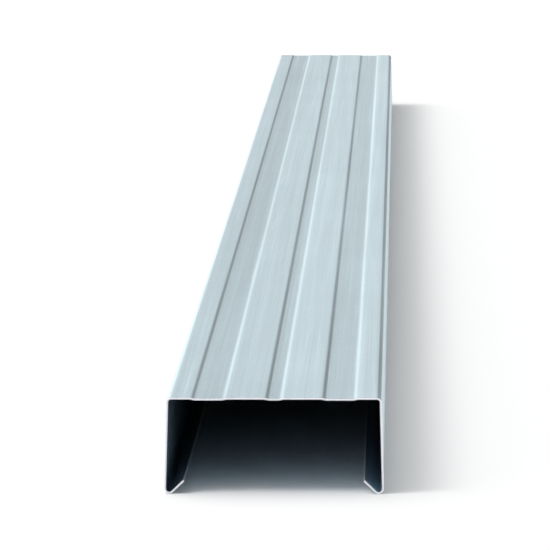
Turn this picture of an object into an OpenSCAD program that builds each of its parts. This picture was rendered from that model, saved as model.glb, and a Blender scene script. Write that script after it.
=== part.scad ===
// Steel drywall stud: one length of zinc-coated sheet, roll-formed into a C section.
// The web is on top, and a flange hangs from each of its corners and ends in a folded lip.
// X runs across the web, Y along the stud, and Z is up. The stud lies on its two folds at Z = 0,
// and the origin is midway between them and midway along the stud.

/* [Stock] */
// Length of the stud, from one cut end to the other
stud_length = 3048; // [600:1:6100]
// Width of the web, over the outsides of its two corners
web_width = 92.1; // [80:0.1:160]
// Depth of the section, from the face of the web to the folds of the lips
flange_depth = 41.3; // [25:0.1:65]
// Thickness of the sheet
sheet_thickness = 0.84; // [0.4:0.01:1.5]

/* [Corners] */
// Inside radius of the corner between the web and a flange
corner_radius = 1.2; // [0.5:0.1:4]
// Angle at which each flange leans outwards from square to the web
flange_lean = 1.5; // [0:0.1:4]

/* [Lips] */
// Angle through which the sheet is folded at the free edge of a flange
lip_turn = 135; // [100:1:150]
// Inside radius of that fold
lip_radius = 1.4; // [0.5:0.1:3]
// Flat length of the lip past its fold
lip_length = 6.8; // [3:0.1:12]

/* [Web grooves] */
// Depth of the grooves that are rolled into the face of the web
groove_depth = 0.4; // [0.1:0.05:1]
// Slope of the groove walls, measured from the face of the web
groove_slope = 17; // [6:1:18]
// Inside radius of the bends at the top and foot of each groove wall
groove_radius = 3.5; // [0.4:0.1:8]
// Width of the middle groove, at half its depth
middle_groove_width = 6.3; // [4:0.1:20]
// Width of each side groove, at half its depth
side_groove_width = 13.6; // [6:0.1:26]
// Distance from the centre of the web to the centre of each side groove
side_groove_offset = 28.1; // [14:0.1:34]

/* [Hidden] */

// Largest angle that one flat of a rounded bend covers
bend_step = 7.5;

// Radii of the bends, measured to the middle of the sheet
half_sheet = sheet_thickness / 2;
corner_mid_radius = corner_radius + half_sheet;
lip_mid_radius = lip_radius + half_sheet;
groove_mid_radius = groove_radius + half_sheet;

// A wall turns through its slope twice, once at its top and once at its foot. Where the groove is
// too shallow for that, the wall has no flat and turns only as far as the depth lets it.
wall_turn = min(groove_slope, acos(max(0, 1 - groove_depth / (2 * groove_mid_radius))));
wall_flat = (groove_depth - 2 * groove_mid_radius * (1 - cos(wall_turn))) / sin(wall_turn);
wall_run = 2 * groove_mid_radius * sin(wall_turn) + wall_flat * cos(wall_turn);

// Lengths of the flats of the web, from its centre out to a corner
middle_floor = middle_groove_width - wall_run;
side_floor = side_groove_width - wall_run;
inner_land = side_groove_offset - (side_groove_width + middle_groove_width) / 2 - wall_run;
outer_land = web_width / 2 - corner_radius - sheet_thickness
    - side_groove_offset - (side_groove_width + wall_run) / 2;

// Flat length of a flange: what the corner and the fold leave of the depth
flange_flat = (flange_depth - sheet_thickness - corner_mid_radius * (1 - sin(flange_lean))
    - lip_mid_radius * (1 + sin(flange_lean))) / cos(flange_lean);

// The fold is in two turns that meet at its lowest point, where the stud rests
fold_down = 90 + flange_lean;
fold_back = lip_turn - fold_down;

// Half the section, followed along the middle of the sheet from the centre of the web to the tip
// of the lip. Each step is a flat length, the turn at its end (positive is to the left) and the
// radius of that turn.
HALF_SECTION = [
    [middle_floor / 2, wall_turn, groove_mid_radius],
    [wall_flat, -wall_turn, groove_mid_radius],
    [inner_land, -wall_turn, groove_mid_radius],
    [wall_flat, wall_turn, groove_mid_radius],
    [side_floor, wall_turn, groove_mid_radius],
    [wall_flat, -wall_turn, groove_mid_radius],
    [outer_land, flange_lean - 90, corner_mid_radius],
    [flange_flat, -fold_down, lip_mid_radius],
    [0, -fold_back, lip_mid_radius],
    [lip_length, 0, 0],
];
section_start = [0, flange_depth - half_sheet - groove_depth];

function along(heading) = [cos(heading), sin(heading)];
function leftward(heading) = [-sin(heading), cos(heading)];
function reversed(points) = [for (i = [len(points) - 1 : -1 : 0]) points[i]];
function mirrored(points) = [for (p = points) [-p.x, p.y]];

// Points of one face of the sheet, at a distance to the left of the line that the steps follow
function sheet_face(steps, left_by, from, heading = 0, i = 0) =
    i == len(steps) ? [] :
    let (
        flat_end = from + steps[i][0] * along(heading),
        turn = steps[i][1],
        radius = sign(turn) * steps[i][2],
        centre = flat_end + radius * leftward(heading),
        flats = ceil(abs(turn) / bend_step),
        turned = [for (k = [0 : flats]) heading + turn * k / max(flats, 1)]
    )
    concat(
        [for (h = turned) centre + (left_by - radius) * leftward(h)],
        sheet_face(steps, left_by, centre - radius * leftward(heading + turn), heading + turn, i + 1)
    );

// The whole section: the outside from lip to lip over the web, and back along the inside
module stud_section() {
    outside = sheet_face(HALF_SECTION, half_sheet, section_start);
    inside = sheet_face(HALF_SECTION, -half_sheet, section_start);
    polygon(concat(reversed(mirrored(outside)), outside, reversed(inside), mirrored(inside)));
}

// The stud, sheared square at both ends
module stud() {
    color("gainsboro")
        translate([0, stud_length / 2, 0])
            rotate([90, 0, 0])
                linear_extrude(stud_length)
                    stud_section();
}

stud();
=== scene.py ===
from math import pi, radians

import bpy
import numpy as np
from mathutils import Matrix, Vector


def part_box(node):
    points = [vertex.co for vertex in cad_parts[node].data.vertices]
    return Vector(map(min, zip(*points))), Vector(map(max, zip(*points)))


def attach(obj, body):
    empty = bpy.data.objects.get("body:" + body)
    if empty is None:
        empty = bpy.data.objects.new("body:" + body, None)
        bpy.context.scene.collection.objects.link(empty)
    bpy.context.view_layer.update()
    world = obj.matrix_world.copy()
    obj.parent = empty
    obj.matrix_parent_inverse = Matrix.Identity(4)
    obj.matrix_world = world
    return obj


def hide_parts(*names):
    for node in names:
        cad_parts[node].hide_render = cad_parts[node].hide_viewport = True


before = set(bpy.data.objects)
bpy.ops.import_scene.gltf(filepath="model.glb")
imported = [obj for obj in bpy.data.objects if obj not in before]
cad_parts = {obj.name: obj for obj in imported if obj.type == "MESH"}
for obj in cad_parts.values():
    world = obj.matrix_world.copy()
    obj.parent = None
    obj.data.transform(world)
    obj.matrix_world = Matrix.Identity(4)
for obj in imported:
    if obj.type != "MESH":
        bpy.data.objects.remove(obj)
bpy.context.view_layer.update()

# ---------------------------------------------------------------------------------------------
# Stud. One strip of zinc-coated steel, pressed cold between rolls that put three grooves in the
# web, turn a flange down at each side and fold a lip back at each free edge. A shear on the same
# line cuts it square to length, which leaves bare steel on the two ends and on the slit edges.

stud_low, stud_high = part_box("stud")
stud_length = stud_high.y - stud_low.y
section_depth = stud_high.z - stud_low.z
web_width = 0.0921
sheet = 0.00084
corner_radius = 0.0012
flange_lean = radians(1.5)
lip_turn = radians(135)
lip_radius = 0.0014
lip_length = 0.0068
groove_depth = 0.0004
groove_slope = radians(17)
groove_radius = 0.0035
middle_groove_width = 0.0063
side_groove_width = 0.0136
side_groove_offset = 0.0281
face_level = stud_high.z - sheet / 2

# How far the stud is out of true: the most that its web dips and its flanges draw in, the length
# over which both fade out at an end, and the waves of the dip, each by its length and its phase.
web_dip = 0.00012
lip_draw_in = 0.0003
true_end = 0.12
web_waves = ((0.61, 0.8), (0.37, 2.1))

# What the shear leaves: the shares of the sheet at which the clean cut stops and the burr starts,
# how far the torn part leans back, and how deep and how far in the outer edge is rolled over.
clean_cut = 0.35
burr_start = 0.95
torn_lean = 0.07 * sheet
edge_roll = 0.1 * sheet
edge_roll_reach = 0.0001

# A bend of this radius or less is burnished in full, and lightened in full by a painted highlight
full_burnish_and_highlight_radius = 0.0015


def rolled_half_section():
    """Flats and bends of half the section, from the centre of the web to the tip of a lip.

    Each row is a flat length, the turn at its end and the radius of that turn at mid sheet. A groove
    wall is two equal and opposite turns with a short flat between them: it drops by
    2 r (1 - cos a) + f sin a and runs out by 2 r sin a + f cos a. The flange takes what depth the
    corner and the fold leave, and the fold turns first to its lowest point and then back up.
    """
    groove_bend = groove_radius + sheet / 2
    corner_bend = corner_radius + sheet / 2
    lip_bend = lip_radius + sheet / 2
    wall_flat = (groove_depth - 2 * groove_bend * (1 - np.cos(groove_slope))) / np.sin(groove_slope)
    wall_run = 2 * groove_bend * np.sin(groove_slope) + wall_flat * np.cos(groove_slope)
    inner_land = side_groove_offset - (side_groove_width + middle_groove_width) / 2 - wall_run
    outer_land = (web_width / 2 - corner_radius - sheet
                  - side_groove_offset - (side_groove_width + wall_run) / 2)
    flange_flat = (section_depth - sheet - corner_bend * (1 - np.sin(flange_lean))
                   - lip_bend * (1 + np.sin(flange_lean))) / np.cos(flange_lean)
    fold_down = pi / 2 + flange_lean
    return np.array([
        [(middle_groove_width - wall_run) / 2, groove_slope, groove_bend],
        [wall_flat, -groove_slope, groove_bend],
        [inner_land, -groove_slope, groove_bend],
        [wall_flat, groove_slope, groove_bend],
        [side_groove_width - wall_run, groove_slope, groove_bend],
        [wall_flat, -groove_slope, groove_bend],
        [outer_land, flange_lean - pi / 2, corner_bend],
        [flange_flat, -fold_down, lip_bend],
        [0, fold_down - lip_turn, lip_bend],
        [lip_length, 0, 0],
    ])


def mid_sheet_line(half_section, flat_step=0.0025, bend_step=0.0004, turn_step=radians(9)):
    """Middle line of the whole sheet, lip to lip, as X, Z, heading, bend and distance at each point.

    The heading holds along a flat and turns evenly round a bend. Between two neighbouring points
    the line moves by its chord, the arc length times sin(t/2)/(t/2) for a turn t, in the mean of
    the two headings, so its place is the running sum of those chords. The distance is measured
    along the sheet from the middle of the web. The left half mirrors the right.
    """
    flat, turn, radius = half_section.T
    length = np.column_stack([flat, abs(turn) * radius]).ravel()
    turn = np.column_stack([0 * turn, turn]).ravel()
    longest = np.where(turn == 0, flat_step, bend_step)
    parts = np.ceil(np.maximum(length / longest, abs(turn) / turn_step)).astype(int)
    step = np.repeat(length / np.maximum(parts, 1), parts)
    step_turn = np.repeat(turn / np.maximum(parts, 1), parts)
    chord = step * np.sinc(step_turn / (2 * pi))
    heading = np.append(0, np.cumsum(step_turn))
    mean_heading = heading[1:] - step_turn / 2
    x = np.append(0, np.cumsum(chord * np.cos(mean_heading)))
    z = face_level - groove_depth + np.append(0, np.cumsum(chord * np.sin(mean_heading)))
    curve = np.append(0, step_turn / step)
    distance = np.append(0, np.cumsum(step))
    return (np.append(-x[:0:-1], x), np.append(z[:0:-1], z), np.append(-heading[:0:-1], heading),
            np.append(curve[:0:-1], curve), np.append(-distance[:0:-1], distance))


def sheared_stations(count=200, first_from_end=0.004, cut_reach=0.00025):
    """Places along the stud: even over its length, with three more at and near each cut end."""
    half = stud_length / 2
    near_end = np.array([0, 0.3, 1]) * cut_reach
    inner = np.linspace(-half + first_from_end, half - first_from_end, count)
    return np.concatenate([near_end - half, inner, half - near_end[::-1]])


def torn_back(through):
    """How far a sheared face stands back from square, by its depth through the sheet, 0 to 1.

    The first third is cut clean and square. The rest tears, and leans back by up to 7% of the sheet,
    and the last twentieth is drawn out again as a burr.
    """
    lean = np.clip((through - clean_cut) / (burr_start - clean_cut), 0, 1)
    burr = np.clip((through - burr_start) / (1 - burr_start), 0, 1)
    return torn_lean * (lean - burr)


def in_web(drop):
    """Whether a place is in the web or its corners, which the top tenth of the section holds.

    The drop goes from 0 at the face of the web to 1 at the folds.
    """
    return drop < 0.1


def out_of_true(x, y, drop):
    """How far the web dips and the flanges draw in, at each place across and along the stud.

    Across the stud the web dips as 1 - (2 x / width)^2 and the flanges draw in as the power 1.5 of
    their drop. Along it the dip comes and goes in full with the mean of the cosine waves, and the
    draw-in by a quarter. Both fade out as 1 - exp(-s / true_end) at the distance s from an end.
    """
    along = 1 - np.exp(-(stud_length / 2 - abs(y)) / true_end)
    waves = [np.cos(2 * pi * y / length + phase) for length, phase in web_waves]
    wave = 0.5 + 0.5 * np.mean(waves, axis=0)
    dip = np.clip(1 - (2 * x / web_width) ** 2, 0, 1) * in_web(drop)
    sag = web_dip * dip[:, None] * along * wave
    draw = lip_draw_in * np.clip(drop, 0, 1)[:, None] ** 1.5 * along * (0.75 + 0.25 * wave)
    return sag, draw


def block_sides(number):
    """Four-cornered faces of the sides of a block of points, numbered by depth, place and station.

    Each side is a grid of points, and its two directions are taken in the order whose cross
    product points out of the block: the outside face of the sheet and the inside face, then the two
    slit edges, then the two ends. Gives the faces and how many of them belong to the two faces.
    """
    sides = [number[0], number[-1].T, number[:, 0].T, number[:, -1],
             number[:, :, 0], number[:, :, -1].T]
    corners = [(grid[:-1, :-1], grid[1:, :-1], grid[1:, 1:], grid[:-1, 1:]) for grid in sides]
    faces = [np.stack(four, axis=-1).reshape(-1, 4) for four in corners]
    return np.concatenate(faces), len(faces[0]) + len(faces[1])


def stud_surface():
    """The closed skin of the stud, which is the six sides of a block bent to the section.

    A point lies at the mid-sheet line plus its share of the sheet along the normal there, less the
    dip and the draw-in. The outside face rolls over by a tenth of a sheet where the shear enters it,
    as exp(-s / reach) at the distance s from the cut, and the sheared faces stand back. Each point
    also gets its place on the flat strip that the stud was rolled from: across it, along it and in
    its thickness. The marks say how far it was burnished at a bend, which also sets a painted
    highlight there, how deep it lies in a groove, which sets a painted shade, and how far it is
    turned to the inside.
    """
    x, z, heading, curve, distance = mid_sheet_line(rolled_half_section())
    y = sheared_stations()
    through = np.array([0, 0.07, 0.2, clean_cut, 0.6, burr_start, 1])
    drop = (section_depth - (z - stud_low.z)) / section_depth
    sag, draw = out_of_true(x, y, drop)
    rolled_over = edge_roll * np.exp(-(stud_length / 2 - abs(y)) / edge_roll_reach)
    outward = sheet / 2 - rolled_over - through[:, None, None] * (sheet - rolled_over)
    back = torn_back(through)[:, None, None]
    at_tip = np.zeros((len(x), 1))
    at_tip[[0, -1], 0] = 1, -1
    at_end = np.zeros(len(y))
    at_end[[0, -1]] = 1, -1
    across = heading[:, None]
    place_x = (x[:, None] - np.sign(x)[:, None] * draw
               - np.sin(across) * outward + np.cos(across) * at_tip * back)
    place_z = z[:, None] - sag + np.cos(across) * outward + np.sin(across) * at_tip * back
    place_y = y + at_end * back + 0 * place_x
    points = np.stack([place_x, place_y, place_z], axis=-1)
    strip = np.stack([distance[:, None] + 0 * place_x, place_y, outward + 0 * place_x], axis=-1)
    faces, coated = block_sides(np.arange(place_x.size).reshape(place_x.shape))
    kept, faces = np.unique(faces, return_inverse=True)
    faces = faces.reshape(-1, 4)
    # Painted shade: this mask darkens the coat the deeper a place lies in a groove
    in_groove = (abs(x) < side_groove_offset + side_groove_width) & in_web(drop)
    marks = {"burnish_and_highlight": np.clip(abs(curve) * full_burnish_and_highlight_radius, 0, 1)[:, None],
             "groove_shade": (np.clip((face_level - z) / groove_depth, 0, 1) * in_groove)[:, None],
             "through": through[:, None, None]}
    marks = {name: np.broadcast_to(values, place_x.shape).ravel()[kept]
             for name, values in marks.items()}
    points, strip = points.reshape(-1, 3)[kept], strip.reshape(-1, 3)[kept]
    return points, faces, np.arange(len(faces)) >= coated, strip, marks


def on_strip(tree):
    """Place on the flat strip, in metres across it, along it and in its thickness."""
    node = tree.nodes.new("ShaderNodeAttribute")
    node.attribute_name = "strip"
    return node.outputs["Vector"]


def pattern(tree, kind, scale, along, detail=2):
    """A pattern 1/scale metres across the strip and 1/(scale * along) metres along it."""
    drawn_out = tree.nodes.new("ShaderNodeMapping")
    drawn_out.inputs["Scale"].default_value = (1, along, 1)
    tree.links.new(on_strip(tree), drawn_out.inputs["Vector"])
    node = tree.nodes.new(kind)
    node.inputs["Scale"].default_value = scale
    node.inputs["Detail"].default_value = detail
    tree.links.new(drawn_out.outputs["Vector"], node.inputs["Vector"])
    return node


def ranged(tree, value, from_low, from_high, to_low, to_high):
    """The value moved from one range to another and held inside it."""
    node = tree.nodes.new("ShaderNodeMapRange")
    for name, number in (("From Min", from_low), ("From Max", from_high),
                         ("To Min", to_low), ("To Max", to_high)):
        node.inputs[name].default_value = number
    tree.links.new(value, node.inputs["Value"])
    return node.outputs["Result"]


def combined(tree, operation, first, *others):
    """The values taken together one after the other, by one operation such as ADD."""
    for other in others:
        node = tree.nodes.new("ShaderNodeMath")
        node.operation = operation
        tree.links.new(first, node.inputs[0])
        tree.links.new(other, node.inputs[1])
        first = node.outputs["Value"]
    return first


def marked(tree, name):
    """How strongly the surface is marked with something, from 0 to 1."""
    node = tree.nodes.new("ShaderNodeAttribute")
    node.attribute_name = name
    return node.outputs["Fac"]


def mixed(tree, factor, low, high):
    """A colour that goes from the low one at 0 to the high one at 1."""
    node = tree.nodes.new("ShaderNodeMix")
    node.data_type = "RGBA"
    node.inputs["A"].default_value = (*low, 1)
    node.inputs["B"].default_value = (*high, 1)
    tree.links.new(factor, node.inputs["Factor"])
    return node.outputs["Result"]


def embossed(tree, height, deepest):
    """Fine relief on the shader's surface, with the depth in metres of a height of 1."""
    node = tree.nodes.new("ShaderNodeBump")
    node.inputs["Distance"].default_value = deepest
    tree.links.new(height, node.inputs["Height"])
    tree.links.new(node.outputs["Normal"], tree.nodes["Principled BSDF"].inputs["Normal"])


def new_material(name):
    """A new material, with its node tree and its shader."""
    material = bpy.data.materials.new(name)
    material.use_nodes = True
    return material, material.node_tree, material.node_tree.nodes["Principled BSDF"]


def zinc_coat():
    """Galvanised finish: pale blue-grey zinc with lengthwise streaks from the rolls, fine bright
    drag marks, a faint spangle drawn out by the rolling and cloudy patches. Its tone rises from
    left to right across the strip, a painted side light. It is smoother where the rolls bent and
    burnished it, and lighter there as a painted highlight; darker the deeper it lies in a groove, a
    painted shade; and lighter and bluer on the inside face, a painted blue cast of the shade inside
    the section."""
    material, tree, shader = new_material("zinc_coat")
    shader.inputs["Metallic"].default_value = 1
    shader.inputs["Specular Tint"].default_value = (0.85, 0.97, 1, 1)
    broad_streak = pattern(tree, "ShaderNodeTexNoise", 150, 0.006, detail=3).outputs["Fac"]
    fine_streak = pattern(tree, "ShaderNodeTexNoise", 1400, 0.002, detail=4).outputs["Fac"]
    drag_mark = pattern(tree, "ShaderNodeTexNoise", 520, 0.006).outputs["Fac"]
    cloud = pattern(tree, "ShaderNodeTexNoise", 14, 0.35).outputs["Fac"]
    spangle = tree.nodes.new("ShaderNodeSeparateColor")
    crystal = pattern(tree, "ShaderNodeTexVoronoi", 900, 0.5, detail=0)
    tree.links.new(crystal.outputs["Color"], spangle.inputs["Color"])
    across = tree.nodes.new("ShaderNodeSeparateXYZ")
    tree.links.new(on_strip(tree), across.inputs["Vector"])

    tone = combined(tree, "ADD",
                    ranged(tree, broad_streak, 0.3, 0.7, 0.31, 0.67),
                    ranged(tree, fine_streak, 0.3, 0.7, -0.08, 0.08),
                    ranged(tree, drag_mark, 0.66, 0.74, 0, 0.14),
                    ranged(tree, cloud, 0.3, 0.7, -0.04, 0.04),
                    ranged(tree, spangle.outputs["Red"], 0, 1, -0.04, 0.04),
                    # Painted side light: the tone rises from the left of the strip to the right
                    ranged(tree, across.outputs["X"], -web_width / 2, web_width / 2, -0.14, 0.16),
                    # Bends are lighter, a painted highlight; their lower roughness further down is
                    # the burnish
                    ranged(tree, marked(tree, "burnish_and_highlight"), 0, 1, 0, 0.05),
                    # Painted shade: darker the deeper a place lies in a groove
                    ranged(tree, marked(tree, "groove_shade"), 0, 1, 0, -0.24),
                    # Painted blue cast of the shade inside the section: the inside face is lighter
                    # here and bluer below
                    ranged(tree, marked(tree, "through"), 0, 1, 0, 0.15))
    # The inside face is multiplied towards blue, the rest of that painted cast
    inner = tree.nodes.new("ShaderNodeMix")
    inner.data_type = "RGBA"
    inner.blend_type = "MULTIPLY"
    inner.inputs["B"].default_value = (0.8, 0.91, 1, 1)
    tree.links.new(marked(tree, "through"), inner.inputs["Factor"])
    tree.links.new(mixed(tree, tone, (0.34, 0.39, 0.42), (0.80, 0.90, 0.955)), inner.inputs["A"])
    tree.links.new(inner.outputs["Result"], shader.inputs["Base Color"])
    rough = combined(tree, "ADD",
                     ranged(tree, broad_streak, 0.3, 0.7, 0.31, 0.41),
                     ranged(tree, drag_mark, 0.66, 0.74, 0, -0.03),
                     ranged(tree, spangle.outputs["Green"], 0, 1, -0.015, 0.015),
                     ranged(tree, marked(tree, "burnish_and_highlight"), 0, 1, 0, -0.03))
    tree.links.new(rough, shader.inputs["Roughness"])
    embossed(tree, fine_streak, 0.000006)
    return material


def sheared_steel():
    """Bare steel of the cut ends and slit edges: bright and smooth over the outside third of the
    sheet, which the blade cut, and duller and grainy over the rest, which tore."""
    material, tree, shader = new_material("sheared_steel")
    shader.inputs["Metallic"].default_value = 0.6
    grain = pattern(tree, "ShaderNodeTexNoise", 2500, 1).outputs["Fac"]
    torn = combined(tree, "MULTIPLY",
                    ranged(tree, marked(tree, "through"), clean_cut - 0.05, clean_cut + 0.1, 0, 1),
                    ranged(tree, grain, 0.3, 0.7, 0.4, 1))
    bare_steel = mixed(tree, torn, (0.93, 0.94, 0.97), (0.58, 0.59, 0.64))
    tree.links.new(bare_steel, shader.inputs["Base Color"])
    tree.links.new(ranged(tree, torn, 0, 1, 0.32, 0.6), shader.inputs["Roughness"])
    embossed(tree, torn, 0.00003)
    return material


def placed(name, data):
    """A new object of the scene, which shows a mesh, a lamp or a camera."""
    thing = bpy.data.objects.new(name, data)
    bpy.context.scene.collection.objects.link(thing)
    return thing


points, faces, bare, strip, marks = stud_surface()
mesh = bpy.data.meshes.new("rolled_stud")
mesh.from_pydata(points, [], faces)
mesh.materials.append(zinc_coat())
mesh.materials.append(sheared_steel())
mesh.polygons.foreach_set("material_index", bare.astype(np.int32))
mesh.polygons.foreach_set("use_smooth", np.ones(len(faces), bool))
place_on_strip = mesh.attributes.new("strip", "FLOAT_VECTOR", "POINT").data
place_on_strip.foreach_set("vector", strip.ravel().astype(np.float32))
for name, values in marks.items():
    mesh.attributes.new(name, "FLOAT", "POINT").data.foreach_set("value", values.astype(np.float32))
mesh.set_sharp_from_angle(angle=radians(35))
mesh.update()
stud = placed("rolled_stud", mesh)
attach(stud, "root")
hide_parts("stud")

# ---------------------------------------------------------------------------------------------
# Floor. A seamless pale sheet, wide enough that its edge is never seen, that takes the shadow.

floor_half = 120
mesh = bpy.data.meshes.new("floor")
mesh.from_pydata([(-floor_half, -floor_half, stud_low.z), (floor_half, -floor_half, stud_low.z),
                  (floor_half, floor_half, stud_low.z), (-floor_half, floor_half, stud_low.z)],
                 [], [(0, 1, 2, 3)])
floor = placed("floor", mesh)
material, tree, shader = new_material("pale_floor")
shader.inputs["Base Color"].default_value = (0.97, 0.97, 0.97, 1)
shader.inputs["Roughness"].default_value = 1
shader.inputs["Specular IOR Level"].default_value = 0
mesh.materials.append(material)

# ---------------------------------------------------------------------------------------------
# Light. A soft surround, brightest to the left, with a pale strip straight past the far end and a
# flag that holds the light back to the right of it, and one broad soft sun from the front left.

world = bpy.data.worlds.new("soft_surround")
bpy.context.scene.world = world
world.use_nodes = True
nodes, links = world.node_tree.nodes, world.node_tree.links
background = nodes["Background"]
brightest = 1.5
side = nodes.new("ShaderNodeTexCoord")
split = nodes.new("ShaderNodeSeparateXYZ")
links.new(side.outputs["Generated"], split.inputs["Vector"])
glow = nodes.new("ShaderNodeValToRGB")
# Each pair is how far to the side, from -1 at the left to 1 at the right, and the level there
levels = ((-0.65, 0.9), (-0.35, 1.5), (-0.08, 1.5), (-0.05, 0.95), (-0.03, 0.86),
          (-0.006, 1.2), (0.008, 1.0), (0.024, 0.3), (0.4, 0.34), (0.7, 0.7))
stops = glow.color_ramp.elements
while len(stops) < len(levels):
    stops.new(1)
for stop, (sideways, level) in zip(stops, levels):
    stop.position = (sideways + 1) / 2
    stop.color = (level / brightest, level / brightest, level / brightest, 1)
links.new(ranged(world.node_tree, split.outputs["X"], -1, 1, 0, 1), glow.inputs["Fac"])
links.new(glow.outputs["Color"], background.inputs["Color"])
background.inputs["Strength"].default_value = brightest

sun_data = bpy.data.lights.new("soft_sun", "SUN")
sun_data.energy = 0.9
sun_data.angle = radians(25)
sun = placed("soft_sun", sun_data)
sun.rotation_euler = (radians(38), 0, radians(-60))

# ---------------------------------------------------------------------------------------------
# Camera. A stud's length in front of the cut end, a little to the right and a foot above the web.
# It is turned back to the left and tilted down, with a long lens that the stud fills.

eye_before_end = stud_length / 0.944
eye_above_web = 0.3016
eye_right = 0.054
turn_left = radians(0.95)
tilt_down = radians(4.41)
camera_data = bpy.data.cameras.new("camera")
camera_data.lens = 497
camera_data.clip_start, camera_data.clip_end = 0.05, 200
camera = placed("camera", camera_data)
camera.location = (eye_right, stud_low.y - eye_before_end, stud_high.z + eye_above_web)
camera.rotation_euler = (pi / 2 - tilt_down, 0, turn_left)
bpy.context.scene.camera = camera
bpy.context.scene.view_settings.view_transform = "Standard"
